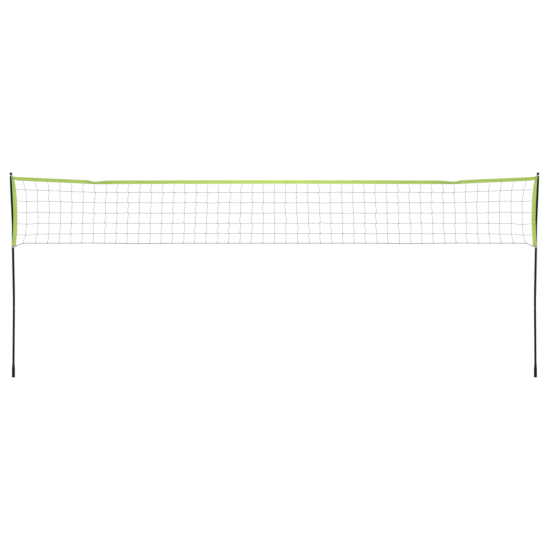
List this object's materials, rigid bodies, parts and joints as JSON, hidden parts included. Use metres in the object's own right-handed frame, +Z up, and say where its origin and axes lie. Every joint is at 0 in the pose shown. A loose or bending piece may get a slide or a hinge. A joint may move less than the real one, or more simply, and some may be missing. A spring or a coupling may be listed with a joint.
{
  "type": "volleyball net on poles",
  "caption": "Long mesh net with a lime green top band and side bands, hung between two slim black sectional poles with blunt feet and ball caps.",
  "frame": {"origin": "on the ground, midway between the two poles, in the plane of the pole axes", "axes": "+X along the net to the right pole as seen from the front, +Z up; the net hangs in front of the poles, on their -Y side"},
  "size_m": [6.195, 0.0398, 2.3975],
  "materials": {
    "pole_paint": "semi-gloss black powder coat",
    "foot_moulding": "matte black moulded rubber",
    "cap_plastic": "satin black moulded plastic",
    "band_fabric": "lime green woven polyester, folded and stitched",
    "tie_cord": "pale braided cord",
    "bottom_cord": "black braided cord",
    "twine": "black twisted polyethylene twine"
  },
  "bodies": {
    "ground_sections": {"left_foot": "foot_moulding", "left_lower_tube": "pole_paint", "right_foot": "foot_moulding", "right_lower_tube": "pole_paint"},
    "left_middle": {"left_middle_tube": "pole_paint"},
    "left_upper_and_net": {"left_upper_tube": "pole_paint", "left_pole_cap": "cap_plastic", "top_cord": "tie_cord", "top_band": "band_fabric", "bottom_cord": "bottom_cord", "net_columns": "twine", "net_rows": "twine", "left_top_loop": "tie_cord", "left_bottom_tie": "tie_cord", "left_side_band": "band_fabric", "right_top_loop": "tie_cord", "right_bottom_tie": "tie_cord", "right_side_band": "band_fabric"},
    "right_middle": {"right_middle_tube": "pole_paint"},
    "right_upper": {"right_upper_tube": "pole_paint", "right_pole_cap": "cap_plastic"}
  },
  "joints": [
    {"name": "left_lower_splice", "type": "slide", "parent": "ground_sections", "child": "left_middle", "axis": [0, 0, 1], "range_m": [0, 0.07]},
    {"name": "left_upper_splice", "type": "slide", "parent": "left_middle", "child": "left_upper_and_net", "axis": [0, 0, 1], "range_m": [0, 0.07]},
    {"name": "right_lower_splice", "type": "slide", "parent": "ground_sections", "child": "right_middle", "axis": [0, 0, 1], "range_m": [0, 0.07]},
    {"name": "right_upper_splice", "type": "slide", "parent": "right_middle", "child": "right_upper", "axis": [0, 0, 1], "range_m": [0, 0.07]}
  ],
  "couplings": [
    {"joint": "right_lower_splice", "follows": "left_lower_splice", "ratio": 1},
    {"joint": "right_upper_splice", "follows": "left_upper_splice", "ratio": 1}
  ]
}
